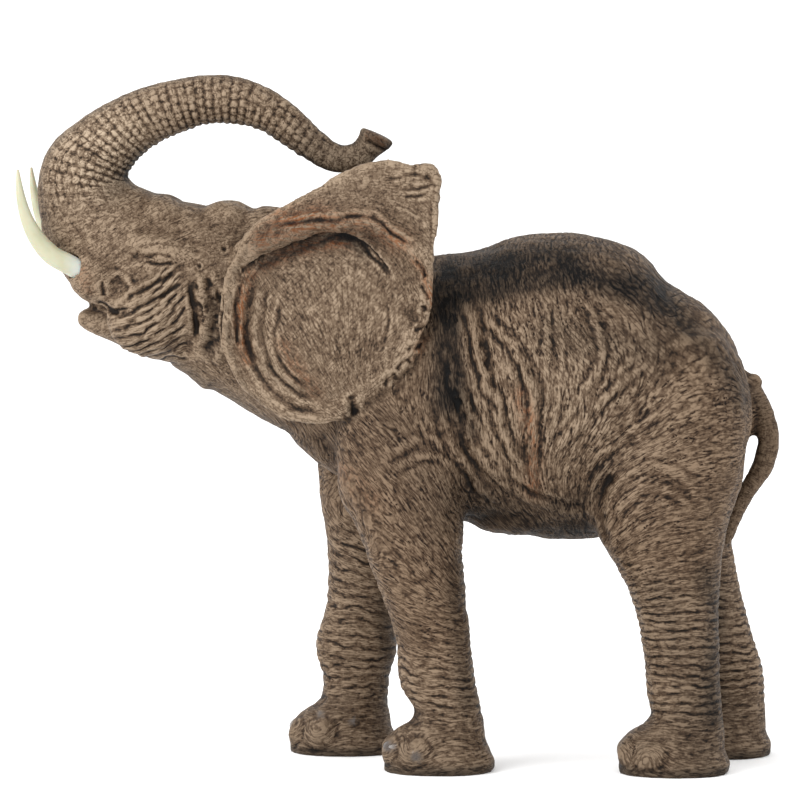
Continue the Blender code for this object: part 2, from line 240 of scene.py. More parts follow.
def coordinates(mesh):
    """A mesh's points in metres, a row of x, y and z for each."""
    points = np.empty(len(mesh.vertices) * 3, np.float32)
    mesh.vertices.foreach_get("co", points)
    return points.reshape(-1, 3)


def arrays_of(mesh):
    """A Blender mesh of equal faces as a Skin."""
    edges = np.empty(len(mesh.edges) * 2, np.int32)
    mesh.edges.foreach_get("vertices", edges)
    corners = np.empty(len(mesh.loops), np.int32)
    mesh.loops.foreach_get("vertex_index", corners)
    sides = len(mesh.loops) // len(mesh.polygons)
    return Skin(coordinates(mesh).astype(float) / MM, corners.reshape(-1, sides).astype(np.int64),
                edges.reshape(-1, 2).astype(np.int64))


def mesh_of(skin, name):
    """A Skin as a Blender mesh in metres, with its fields as point attributes."""
    mesh = bpy.data.meshes.new(name)
    count, sides = skin.faces.shape
    mesh.vertices.add(len(skin.points))
    mesh.vertices.foreach_set("co", (skin.points * MM).astype(np.float32).ravel())
    mesh.loops.add(count * sides)
    mesh.loops.foreach_set("vertex_index", skin.faces.astype(np.int32).ravel())
    mesh.polygons.add(count)
    mesh.polygons.foreach_set("loop_start", np.arange(0, count * sides, sides, dtype=np.int32))
    mesh.update(calc_edges=True)
    for field, values in skin.fields.items():
        layer = mesh.attributes.new(field, "FLOAT", "POINT")
        layer.data.foreach_set("value", values.astype(np.float32))
    return mesh


def placed(name, data):
    """A new object in the scene that shows a mesh, a light or a camera."""
    obj = bpy.data.objects.new(name, data)
    bpy.context.scene.collection.objects.link(obj)
    return obj


def evaluated(mesh, name, modifier, **settings):
    """A mesh after one modifier."""
    obj = placed(name, mesh)
    step = obj.modifiers.new(name, modifier)
    for key, value in settings.items():
        setattr(step, key, value)
    made = bpy.data.meshes.new_from_object(obj.evaluated_get(bpy.context.evaluated_depsgraph_get()))
    bpy.data.objects.remove(obj)
    return made


def node_copy(node):
    """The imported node's mesh with its loose triangles merged."""
    bm = bmesh.new()
    bm.from_mesh(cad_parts[node].data)
    bmesh.ops.remove_doubles(bm, verts=bm.verts, dist=1e-6)
    mesh = bpy.data.meshes.new(node + "_copy")
    bm.to_mesh(mesh)
    bm.free()
    return mesh


# Paths of the trunk and the tail, and the ear's outline, in millimetres of this frame
TRUNK_PATH = catmull(seen(
    [112, 90, 86, 92, 106, 122, 140, 160, 184, 208, 231, 253, 276, 299, 319, 336, 352, 366, 374, 380],
    [215, 196, 182, 165, 149, 135, 122, 112, 104, 99, 98, 102, 112, 131, 146, 157, 161, 157, 149, 136]), 8)
TAIL_PATH = catmull(seen(
    [738, 752, 762, 769, 772, 766, 750, 742, 735, 731],
    [372, 383, 397, 415, 437, 464, 486, 502, 522, 545]), 6)
EAR_TIP = seen(352, 416, -38)
CHEEK_FOCUS = seen(118, 262, -20)
EAR_OUTLINE = catmull(seen(
    [245, 235, 229, 228, 230, 237, 247, 265, 283, 311, 340, 355, 385, 413, 428, 436, 439, 439, 443, 439, 429,
     420, 397, 376, 342, 320, 297, 270, 256],
    [258, 272, 292, 316, 344, 368, 388, 404, 416, 423, 422, 413, 389, 364, 335, 316, 251, 211, 189, 178, 169,
     171, 162, 165, 176, 188, 198, 210, 232], -42), 4)
TRUNK_SMOOTH = 146.0  # arc length past which the trunk has no rings; it is 162 mm long
# The right tusk's socket: its mouth, its axis, and the tusk's radius with the glue gap and a little air
TUSK_MOUTH = np.array([-128.5, 18.8, 200.2])
TUSK_AXIS = np.array([-8.0, 1.4, 4.6]) / np.linalg.norm([8.0, 1.4, 4.6])
SOCKET_RADIUS = 4.25 + 0.45


def along_path(points, path):
    """For each point: distance to the path's nearest sample, arc length there, the angle round it in
    radians, from -pi/2 at its lower side to pi/2 at its upper side, and the path's heading."""
    lengths = np.concatenate([[0], np.cumsum(np.linalg.norm(np.diff(path, axis=0), axis=1))])
    flat = points[:, [0, 2]]
    nearest = np.empty(len(points), int)
    batch = 20000
    for start in range(0, len(points), batch):
        part = points[start:start + batch]
        gaps = (part[:, None, 0] - path[:, 0])**2 + (part[:, None, 2] - path[:, 1])**2
        nearest[start:start + batch] = gaps.argmin(axis=1)
    tangent = np.gradient(path, axis=0)
    tangent /= np.linalg.norm(tangent, axis=1)[:, None]
    away = flat - path[nearest]
    arc = lengths[nearest] + np.sum(away * tangent[nearest], axis=1)
    out = away[:, 0] * -tangent[nearest, 1] + away[:, 1] * tangent[nearest, 0]
    return np.hypot(out, points[:, 1]), arc, np.arctan2(out, np.abs(points[:, 1])), tangent[nearest]


# Feet: where each stands, half their length and width, and where their toes lie, in degrees round the foot
# and millimetres above the floor
FEET = [(110.4, -26.3), (129.0, 25.3), (17.1, -25.8), (-24.3, 26.3)]
FOOT_LONG, FOOT_WIDE = 22.6, 19.5
TOE_TURNS = (-64, -23, 20, 62)
TOE_LEVEL = 9.4


def toe_centres():
    """The middle of each toe: on the foot's oval at the toe's angle, a little above the floor."""
    turn = np.radians(TOE_TURNS)
    return np.array([(x - FOOT_LONG * math.cos(a), y + FOOT_WIDE * math.sin(a), TOE_LEVEL)
                     for x, y in FEET for a in turn])


def nail_centres():
    """The glossy nails of the fore feet: the four that the photograph shows, and the two front ones of the
    far foot."""
    spots = [(417, 756, -42), (390, 747, -36), (318, 714, 9), (354, 722, 7)]
    shown = [(seen(u, v, y)[0], y, seen(u, v, y)[1]) for u, v, y in spots]
    return np.array(shown + [tuple(toe_centres()[i]) for i in (14, 15)])


def nearest_of(points, centres, stretch=(1, 1, 1)):
    """Distance to the nearest of the centres, with the three axes stretched. Nothing is over 99 mm off."""
    best = np.full(len(points), 99.0)
    for centre in centres:
        best = np.minimum(best, np.linalg.norm((points - centre) * stretch, axis=1))
    return best


def spot(points, u, v, y, wide):
    """A gaussian round the place that the photograph shows at column u, row v."""
    return hump(np.hypot(*(points - seen(u, v, y)).T), wide)


# The sculptor's strokes: photograph column and row, and the heading, in degrees from the tail's way to
# upwards, in which the next wrinkle follows the last. The wrinkles run square to it.
BODY_STROKES = (
    (450, 280, 5), (520, 290, 0), (600, 290, 0), (660, 310, -10), (700, 340, -35), (730, 380, -55),
    (450, 340, 12), (520, 350, 14), (600, 350, 0), (650, 370, -25), (700, 400, -50), (735, 430, -60),
    (455, 410, 20), (500, 410, 15), (540, 410, 0), (580, 410, -25), (640, 420, -45), (700, 440, -60),
    (460, 470, 35), (500, 465, 30), (530, 460, 5), (560, 455, -30), (600, 455, -45), (650, 465, -75),
    (705, 480, -85), (480, 510, 60), (520, 518, 68), (560, 522, 60), (590, 500, -10), (610, 525, 0),
    (640, 500, -60), (690, 510, -75), (640, 540, -80), (700, 550, -85), (350, 470, 50), (400, 450, 60),
    (440, 470, 40), (370, 520, 35), (430, 520, 22), (390, 570, 35), (445, 570, 12), (400, 630, 50),
    (450, 620, 60), (330, 440, 60), (290, 420, 62), (230, 390, 58), (180, 360, 60), (100, 230, 130),
    (150, 215, 118), (230, 220, 108), (180, 240, 120), (130, 255, 122), (95, 280, 125), (100, 320, 110),
)
EAR_STROKES = (
    (243, 290, 0), (238, 315, 0), (238, 340, 6), (250, 375, 30), (280, 405, 55), (320, 416, 76),
    (290, 300, 42), (320, 270, 45), (350, 300, 45), (300, 340, 38), (340, 360, 28), (370, 360, 22),
    (380, 320, 36), (405, 300, 40), (420, 280, 32), (400, 350, 36), (360, 390, 16), (270, 330, 30),
    (270, 240, 115), (300, 228, 105), (340, 222, 90), (380, 228, 60), (405, 245, 45), (425, 270, 30),
    (300, 205, 115), (350, 190, 115), (400, 180, 105), (400, 205, 100), (425, 200, 60), (430, 230, 22),
)


def headings(flat, strokes, reach, y):
    """Unit gradient directions at (x, z) points: the strokes' headings, each weighted by a gaussian of its
    distance."""
    u, v, turn = np.array(strokes, float).T
    place = seen(u, v, y)
    turn = np.radians(turn)
    total = np.zeros((len(flat), 2))
    for (x, z), a in zip(place, turn):
        weight = np.exp(-((flat[:, 0] - x)**2 + (flat[:, 1] - z)**2) / (2 * reach**2)) + 1e-9
        total += weight[:, None] * (math.cos(a), math.sin(a))
    return total / np.maximum(np.linalg.norm(total, axis=1), 1e-12)[:, None]


def regions(skin):
    """Shares of the skin that belong to trunk, tail, legs, ears, cheek and head, each from 0 to 1, kept as
    fields, with the arc length and the angle along the trunk."""
    x, y, z = skin.points.T
    field = skin.fields
    gap, arc, turn, way = along_path(skin.points, TRUNK_PATH)
    # How far from its path the trunk's skin may lie, by arc length
    reach = np.interp(arc, [0, 20, 60, 110, 170], [27, 24, 19, 15, 12])
    field["trunk"] = smoothstep(0, 20, arc) * smoothstep(reach + 5, reach, gap) * smoothstep(205, 216, z)
    field["arc"], field["trunk_way"] = arc, way
    field["turn"], field["turn_mm"] = turn, turn * np.clip(gap, 4, 40)
    gap, arc, _, field["tail_way"] = along_path(skin.points, TAIL_PATH)
    field["tail"] = smoothstep(9, 6, gap) * smoothstep(6, 16, arc) * smoothstep(122, 132, x)
    # A fore leg begins lower on its outer side, where the shoulder covers it
    outer = smoothstep(0.1, 0.6, skin.normals()[:, 1] * np.sign(y))
    fore_leg = smoothstep(108, 84, z) + outer * (smoothstep(60, 36, z) - smoothstep(108, 84, z))
    field["leg"] = np.where(x < 50, fore_leg, smoothstep(92, 64, z))
    # The right ear stands 5 mm further forward and up to 10 mm lower at its top, and both ears' sheets
    # swing away from the neck towards the rear
    shift = np.where(y > 0, -5.0, 0.0)
    lift = np.where(y > 0, 10.0, 0.0) * np.clip((z - 175) / 60, 0, 1)
    flat = np.stack([x - shift, z + lift], axis=1)
    gap, _ = distance_to_path(flat, EAR_OUTLINE, closed=True)
    inside = inside_outline(flat, EAR_OUTLINE)
    sheet = 27.5 + 15.2 * np.clip((flat[:, 0] + 66) / 85, 0, 1.1)**0.9
    ear = (inside | (gap < 1.5)) & (np.abs(y) > sheet)
    field["ear"] = skin.spread(ear, 3)
    field["rim"] = np.where(inside, gap, 0.0)
    field["ear_x"], field["ear_z"] = flat.T
    # The cheek is the part of the head between two rays and two circles round its focus
    head = smoothstep(-44, -60, x) * (1 - field["ear"]) * (1 - field["trunk"])
    rx, rz = x - CHEEK_FOCUS[0], z - CHEEK_FOCUS[1]
    r, turn = np.hypot(rx, rz), np.degrees(np.arctan2(rz, rx))
    field["cheek"] = head * smoothstep(-82.5, -86, x) * smoothstep(14, 22, r) * smoothstep(52, 44, r) * (
        smoothstep(2, -16, turn) * smoothstep(-100, -84, turn))
    field["head"] = head * (1 - field["cheek"])


def flow(skin):
    """One number per point whose level lines are the wrinkles. In each quad the two diagonals give its rise
    along the wanted heading, which should be 1 mm per mm, and across it, which should be 0. Conjugate
    gradients find the field that comes nearest by least squares. On the body the rise across counts far
    more, so that wrinkles can fan out; the field pace then holds the rise that came out."""
    field = skin.fields
    x, _, z = skin.points.T
    count = len(x)
    body = headings(np.stack([x, z], 1), BODY_STROKES, 11, -35)
    rx, rz = x - CHEEK_FOCUS[0], z - CHEEK_FOCUS[1]
    r = np.maximum(np.hypot(rx, rz), 3)
    cheek = -np.stack([rx / r, rz / r], axis=1)
    ear = headings(np.stack([field["ear_x"], field["ear_z"]], 1), EAR_STROKES, 9, -40)
    up = np.stack([0 * x, np.where(x < 50, 1.0, -1.0)], axis=1)
    slope = body
    for name, wanted in (("cheek", cheek), ("ear", ear), ("leg", up), ("trunk", field.pop("trunk_way")),
                         ("tail", field.pop("tail_way"))):
        slope = slope + field[name][:, None] * (wanted - slope)
    strict = 0.16 + 0.84 * np.clip(field["leg"] + field["trunk"] + field["tail"] + 0.5 * field["cheek"], 0, 1)

    f0, f1, f2, f3 = skin.faces.T
    p = skin.points
    first, second = p[f2] - p[f0], p[f3] - p[f1]
    normal = np.cross(first, second)
    area = np.linalg.norm(normal, axis=1)
    normal /= np.maximum(area, 1e-9)[:, None]
    way = slope[skin.faces].mean(axis=1)
    way = np.stack([way[:, 0], 0 * area, way[:, 1]], axis=1)
    way -= np.sum(way * normal, axis=1)[:, None] * normal
    sure = np.linalg.norm(way, axis=1)
    way /= np.maximum(sure, 1e-6)[:, None]
    side = np.cross(normal, way)
    ag, ad, bg, bd = (np.sum(u * v, axis=1) for u in (first, second) for v in (way, side))
    area *= smoothstep(0.05, 0.5, sure)
    scale = ag * bd - ad * bg
    scale = np.sign(scale) / np.maximum(np.abs(scale), 0.05)
    along, across = np.stack([bd, -ad]) * scale, np.stack([-bg, ag]) * scale
    strict = strict[skin.faces].mean(axis=1)
    a, b = skin.edges.T
    couple = 0.03  # weight of an edge's own rise, which holds the field together where the heading is unsure
    step = (p[b] - p[a])[:, [0, 2]]
    edge_rise = np.sum(0.5 * (slope[a] + slope[b]) * step, axis=1)

    def gathered(fa, fb, fe):
        """What the points get from forces on the faces' two diagonals and on the edges."""
        return (np.bincount(f2, fa, count) - np.bincount(f0, fa, count) + np.bincount(f3, fb, count)
                - np.bincount(f1, fb, count) + np.bincount(b, fe, count) - np.bincount(a, fe, count))

    def rises(v):
        """A face's rise along its heading and across it."""
        da, db = v[f2] - v[f0], v[f3] - v[f1]
        return along[0] * da + along[1] * db, across[0] * da + across[1] * db

    def pulled(v):
        """The weighted pull on each point of the rises that a field has."""
        g, d = rises(v)
        g, d = area * strict * g, area * d
        return gathered(along[0] * g + across[0] * d, along[1] * g + across[1] * d,
                        couple * (v[b] - v[a])) + 1e-5 * v

    want = area * strict
    rest = gathered(along[0] * want, along[1] * want, couple * edge_rise)
    da = area * (strict * along[0]**2 + across[0]**2)
    db = area * (strict * along[1]**2 + across[1]**2)
    degree = (np.bincount(f2, da, count) + np.bincount(f0, da, count) + np.bincount(f3, db, count)
              + np.bincount(f1, db, count) + couple * (np.bincount(a, minlength=count)
                                                       + np.bincount(b, minlength=count)) + 1e-4)
    # The first guess rises up the fore legs, along the back and down the hind legs, and along the trunk
    start = np.where(x < 20, z, np.where(x < 90, 100 + x, 250 - z))
    found = skin.spread(start + field["trunk"] * (field["arc"] + 200 - start), 10)
    rest = rest - pulled(found)
    guess = rest / degree
    heading, energy = guess.copy(), rest @ guess
    rounds = 600
    for _ in range(rounds):
        change = pulled(heading)
        stride = energy / (heading @ change)
        found += stride * heading
        rest -= stride * change
        guess = rest / degree
        fresh = rest @ guess
        heading = guess + fresh / energy * heading
        energy = fresh
    field["flow"] = found
    g, d = rises(found)
    pace, total = np.zeros(count), np.full(count, 1e-6)
    for corner in (f0, f1, f2, f3):
        pace += np.bincount(corner, area * np.hypot(g, d), count)
        total += np.bincount(corner, area, count)
    field["pace"] = np.clip(skin.spread(pace / total, 25), 0.25, 4)


def stroke_noise(points, level, pace, along, across, seed):
    """Noise in strokes along the flow. Where the level rises fast or slowly, a noise an octave coarser or
    finer takes over, by the logarithm of the pace, so that the strokes keep their width."""
    octave = np.log2(pace)
    total, power = np.zeros(len(points)), np.zeros(len(points))
    for step in range(-2, 3):
        share = np.clip(1 - np.abs(octave - step), 0, 1)
        used = np.flatnonzero(share)
        if len(used):
            place = np.column_stack([points[used] / along, level[used] / (across * 2.0**step)])
            total[used] += share[used] * lattice_noise(place, seed + step)
            power[used] += share[used]**2
    return total / np.sqrt(np.maximum(power, 0.2))


def grooves(t, narrow):
    """1 in the bottom of a groove at each whole number, falling to 0 between, by exp(-(d / narrow)^2)."""
    return hump(t - np.round(t), narrow)


# Raised folds: the photograph's columns and rows that they pass, half width and height in millimetres
FOLDS = (
    ((455, 472, 481, 487, 497, 500, 515, 527), (292, 317, 355, 385, 400, 425, 455, 480), 1.7, 1.5),
    ((477, 497, 515, 527, 534, 532, 532), (310, 327, 347, 370, 392, 430, 475), 1.8, 1.5),
    ((445, 455, 467, 472, 490, 515, 552), (337, 380, 410, 442, 467, 492, 510), 1.8, 1.3),
    ((440, 452, 467, 480, 505), (405, 442, 467, 490, 512), 1.6, 1.0),
    ((462, 466, 478, 492, 507), (372, 400, 430, 455, 480), 1.3, 0.8),
    ((587, 600, 602, 592, 580), (300, 330, 355, 380, 400), 1.5, 0.8),
    ((655, 625, 602, 575, 552), (350, 380, 400, 427, 455), 1.5, 0.7),
    ((640, 622, 596, 566), (330, 372, 412, 440), 1.3, 0.5),
    ((560, 561, 556, 548), (330, 370, 410, 450), 1.3, 0.5),
    ((545, 548, 545), (300, 340, 380), 1.3, 0.4),
    ((690, 660, 630, 600, 578), (395, 412, 432, 455, 480), 1.4, 0.5),
    ((606, 622, 650, 680, 702), (500, 478, 466, 474, 494), 1.6, 0.8),
    ((612, 628, 652, 676, 690), (520, 498, 486, 494, 512), 1.5, 0.6),
    ((395, 412, 432, 446), (452, 440, 438, 446), 1.5, 0.6),
    ((392, 412, 434, 452), (470, 458, 456, 466), 1.5, 0.6),
    ((194, 199, 203, 204, 202), (274, 292, 312, 332, 348), 2.2, 2.2),
    ((207, 211, 214, 214, 211), (284, 298, 314, 330, 346), 1.3, 1.0),
    ((100, 112, 122, 128, 120, 108), (282, 276, 280, 292, 300, 304), 1.3, 0.4),
)
# Pressed creases in the same way, with half width and depth. Those of two columns are pinholes.
CREASES = (
    ((500, 520, 540, 565, 590), (472, 486, 496, 503, 507), 1.6, 1.1),
    ((618, 606, 600, 600, 606), (468, 480, 497, 520, 545), 2.0, 1.5),
    ((93, 102, 111, 120), (303, 308, 312, 312), 1.2, 0.9),
    ((123, 133, 144, 160, 178), (302, 295, 289, 281, 272), 1.0, 0.8),
    ((126, 140, 154, 170, 184), (316, 308, 300, 291, 281), 1.0, 0.8),
    ((102, 103, 103), (280, 290, 298), 0.9, 0.5),
    ((221, 218, 214, 208, 200), (288, 312, 330, 346, 358), 3.0, 2.0),
    ((189, 194, 197), (284, 310, 338), 1.2, 0.7),
    ((143, 151, 160, 169, 176), (259, 255.5, 254, 255.5, 259), 0.7, 0.3),
    ((145, 153, 161, 169, 175), (261.5, 264, 264.5, 263.5, 261), 0.7, 0.35),
    ((134, 150, 166, 186), (250, 245, 244, 249), 1.0, 0.35),
    ((223, 223.1), (248.5, 248.6), 0.9, 0.9),
    ((199.5, 199.6), (266, 266.1), 0.7, 0.5),
    ((361, 368, 377, 386, 391), (139, 144, 149, 154, 157), 0.9, 0.8),
)
EAR_CREASES = (
    ((246, 256, 270, 287, 305, 325, 338), (265, 258, 252, 245, 237, 231, 226), 1.5, 1.6),
    ((270, 295, 320, 337, 355, 375, 392, 410, 424), (226, 224, 219, 220, 215, 217, 230, 242, 247), 1.1, 0.9),
    ((345, 360, 370, 382, 392), (235, 242, 255, 265, 277), 0.9, 0.5),
    ((383, 389, 388, 383), (300, 315, 332, 345), 0.8, 0.25),
    ((398, 410, 424, 437), (191, 188, 187, 184), 0.8, 0.4),
    ((404, 416, 430), (196, 196, 193), 0.8, 0.3),
    ((386, 400, 414, 428), (181, 177, 174, 173), 0.8, 0.3),
    ((416, 424, 429), (259, 268, 279), 0.9, 0.6),
    ((420, 427, 431), (283, 290, 300), 0.9, 0.6),
    ((426, 426.1), (308, 308.1), 1.2, 1.2),
    ((258, 250, 246, 248, 256, 272, 296, 330), (272, 296, 325, 350, 372, 392, 408, 414), 1.5, 0.9),
    ((270, 263, 260, 264, 274, 292, 316), (284, 306, 330, 352, 372, 390, 402), 1.0, 0.6),
    ((284, 276, 274, 280, 292, 310), (300, 322, 342, 360, 376, 390), 0.9, 0.5),
    ((240, 236, 235, 238), (280, 300, 325, 350), 0.9, 0.7),
    ((398, 404, 413), (372, 362, 360), 1.2, 1.0),
    ((406, 414, 423), (350, 346, 346), 1.1, 0.9),
    ((414, 421, 430), (330, 328, 329), 1.1, 0.9),
    ((384, 390, 399), (386, 378, 375), 1.1, 0.9),
    ((350, 353, 355, 357), (394, 402, 409, 416), 1.6, 1.5),
    ((238, 246, 254), (270, 268, 262), 1.3, 1.0),
)


def fold_heights(points, folds, y, beside):
    """Height of a set of folds at (x, z) points: each is a gaussian across its curve, faded at the ends,
    with the clay pressed the other way on both sides by the share beside."""
    total = np.zeros(len(points))
    for u, v, wide, high in folds:
        line = catmull(seen(u, v, y), 5)
        low, top = line.min(axis=0) - 4 * wide, line.max(axis=0) + 4 * wide
        close = np.flatnonzero(np.all((points > low) & (points < top), axis=1))
        gap, share = distance_to_path(points[close], line)
        ends = smoothstep(0, 0.16, np.minimum(share, 1 - share)) if len(u) > 2 else 1.0
        total[close] += high * ends * (hump(gap, wide) - beside * hump(gap - 1.9 * wide, 0.7 * wide))
    return total


def ear_shelf(points):
    """The overhanging fold of the ear: above its crease the sheet swells, and below it sinks, both fading
    with the distance."""
    line = catmull(seen([243, 256, 270, 287, 305, 325, 340, 358, 372, 386, 396],
                        [268, 258, 252, 245, 237, 231, 229, 234, 246, 262, 280], -40), 4)
    gap, share = distance_to_path(points, line)
    nearest = np.clip((share * len(line)).astype(int), 0, len(line) - 2)
    along = (line[1:] - line[:-1])[nearest]
    away = points - line[nearest]
    above = along[:, 0] * away[:, 1] - along[:, 1] * away[:, 0] > 0
    strong = smoothstep(0, 0.12, share) * smoothstep(1.0, 0.55, share)
    return strong * np.where(above, 2.0 * hump(gap, 6), -1.7 * hump(gap, 4.5))


# The carving in millimetres: how far apart the cuts run, and how deep they go or how high they stand
RING_STEP, CHEEK_MORE, BLOCK_STEP = 3.8, 0.1, 3.7
WRINKLE_LONG, WRINKLE_STEP = 12, 2.0
RING_DEEP, BLOCK_DEEP, KNOB_HIGH, WRINKLE_DEEP = 0.6, 0.42, 0.12, 0.22
TOE_HIGH, TOE_EDGE_DEEP, INSTEP_DEEP, NAIL_HIGH, EYE_HIGH = 1.3, 0.4, 2.2, 0.7, 0.5
EAR_EDGE_MORE, TRUNK_EDGE_MORE = 1.5, 1.0
CUT_NARROW = 0.17  # how wide a ring's or a block's cut is, as a share of its step


def carve(skin):
    """Moves the refined skin along its normals: folds and creases, rings, blocks and wrinkles, toes, nails
    and eyes. The field relief is 0 in the hollows of the carved skin and 1 on its ridges, from how far each
    point lies below or above the mean of its neighbourhood."""
    p, field = skin.points, skin.fields
    x, y, z = p.T
    normal = skin.normals()
    outwards = normal[:, 1] * np.sign(y)
    facing = smoothstep(0.2, 0.6, outwards)
    flat = p[:, [0, 2]]
    ears = np.stack([field["ear_x"], field["ear_z"]], 1)
    trunk, leg, ear, tail = (field[n] for n in ("trunk", "leg", "ear", "tail"))
    cheek, head, level = field["cheek"], field["head"], field["flow"]  # level is raised in place below
    body = np.clip(1 - trunk - leg - ear - tail - cheek - head, 0, 1)

    slow = lattice_noise(p / 16, 1)
    medium = lattice_noise(p / 7, 2)
    rough = lattice_noise(p / 3.2, 3)

    # Folds and creases, whose lines waver and whose height varies as if pressed by hand
    wave = (1.1 * np.stack([medium, lattice_noise(p / 8, 7)], 1)
            + 0.45 * np.stack([rough, lattice_noise(p / 3, 8)], 1))
    press = np.clip(0.8 + 0.5 * medium + 0.3 * rough, 0.25, 1.3)
    high = (1.1 * fold_heights(flat + wave, FOLDS, -42, 0.3) * press
            - fold_heights(flat + 0.3 * wave, CREASES, -26, 0.3)) * facing * (1 - ear)
    high += (ear_shelf(ears + 0.4 * wave) - fold_heights(ears + 0.6 * wave, EAR_CREASES, -41, 0.3) * press
             ) * (ear * smoothstep(0.0, 0.4, outwards))

    # Toes: low domes that the wrinkles sweep round, because the level rises over each
    near = nearest_of(p, toe_centres(), (1, 1, 1.2)) + 0.5 * medium + 0.4 * rough
    level += 8 * hump(near, 7)
    field["pace"] = np.maximum(field["pace"], 1.5 * hump(near - 5, 3.5))

    # Rings on legs, trunk and cheek: the skin swells between them
    straight = 1 - 0.8 * trunk
    wobble = (0.34 * medium + 0.25 * slow + 0.12 * rough) * straight
    turns = level / (RING_STEP + CHEEK_MORE * cheek) + wobble
    off_middle = turns % 1 - 0.5
    patchy = np.clip(0.6 + 0.6 * rough + 0.8 * lattice_noise(p / 6, 9), 0.1, 1)
    patchy += trunk * (0.35 + 0.55 * patchy - patchy)
    arc = field["arc"]
    along_trunk = trunk * smoothstep(4, 20, arc) * smoothstep(TRUNK_SMOOTH, TRUNK_SMOOTH - 22, arc)
    upper_edge = smoothstep(0.75, 1.15, field["turn"])
    ring_share = (leg * smoothstep(16, 28, z) * 0.7 + along_trunk * (0.7 - 0.5 * upper_edge) + 1.05 * cheek
                  + 0.12 * tail)
    ring = (grooves(turns, CUT_NARROW) - 0.35 * hump(off_middle, 0.2)) * ring_share * patchy
    # Blocks: lengthwise cuts on the trunk, a little staggered, which stop short of its top edge
    row = np.round(turns + 0.5)
    blocks = grooves(field["turn_mm"] / BLOCK_STEP + 0.2 * np.sin(row * 2.4) + 0.3 * medium, CUT_NARROW)
    blocks *= along_trunk * (1 - upper_edge) * patchy
    knob = hump(off_middle, 0.25) * along_trunk * (1 - blocks) * (1 - upper_edge) * patchy
    # Wrinkles: the zero lines of a noise that changes fast across the flow and slowly along it
    wrinkle = hump(stroke_noise(p, level, field["pace"], WRINKLE_LONG, WRINKLE_STEP, 40), 0.13)
    broken = smoothstep(-0.45, 0.25, lattice_noise(p / 5, 6))
    wrinkle_share = np.clip(body + 0.5 * head + 0.2 * ear + 0.4 * cheek + 0.7 * leg + 0.1 * trunk
                            + 0.5 * tail, 0, 1)

    cut = (RING_DEEP * ring + BLOCK_DEEP * blocks - KNOB_HIGH * knob
           + WRINKLE_DEEP * wrinkle * broken * wrinkle_share)
    calm_patch = 1 - 0.7 * spot(flat, 204, 273, -26, 8)
    lumps = (0.5 * slow + 0.28 * medium) * (1 - 0.5 * ear) * (1 - 0.5 * trunk)
    move = high - cut * calm_patch + lumps + 0.14 * rough
    move += TOE_HIGH * hump(near, 5.5) - TOE_EDGE_DEEP * hump(near - 8, 1.4) * smoothstep(20, 15, z) * patchy
    for foot_x, foot_y in FEET:
        front = smoothstep(4, 14, foot_x - x) * smoothstep(34, 28, np.hypot(x - foot_x, y - foot_y))
        move -= INSTEP_DEEP * front * hump(z - 22, 6)
    # The ear's rear edge and the trunk's upper edge stand a little proud of the solid's
    move += (EAR_EDGE_MORE * ear * smoothstep(3, 0.5, field["rim"]) * smoothstep(8, 13, field["ear_x"])
             * smoothstep(198, 208, z))
    move += TRUNK_EDGE_MORE * trunk * upper_edge * hump(arc - 118, 16)
    nail = nearest_of(p, nail_centres(), (1, 0.4, 1))
    move += NAIL_HIGH * hump(nail, 2)

    # Eyes: a small ball between the lid creases
    eye = seen(160, 259.5, -26)
    gap = np.hypot((x - eye[0]) / 1.5, z - eye[1])
    move += EYE_HIGH * hump(gap, 1.4) * facing * np.clip(head + cheek, 0, 1)

    # The skin stays calm round the tusk sockets and flat on the soles
    mouth_gap = nearest_of(p, [TUSK_MOUTH * (1, side, 1) for side in (-1, 1)])
    move *= smoothstep(4.5, 9, mouth_gap) * smoothstep(0.6, 2.5, z)
    skin.points = p + normal * move[:, None]
    skin.points[:, 2] = np.maximum(skin.points[:, 2], 0)

    normal = skin.normals()
    close = skin.spread(skin.points, 3)
    wide = skin.spread(close, 14)
    sharp = np.sum((close - skin.points) * normal, axis=1)
    broad = np.sum((wide - skin.points) * normal, axis=1)
    relief = 0.66 - (5.8 - 2.0 * trunk) * sharp - 0.55 * broad
    field["relief"] = np.clip(relief + trunk * (0.12 * medium + 0.08 * rough), 0.16 * trunk, 1)
    field["nail"] = smoothstep(2.4, 1.7, nail)


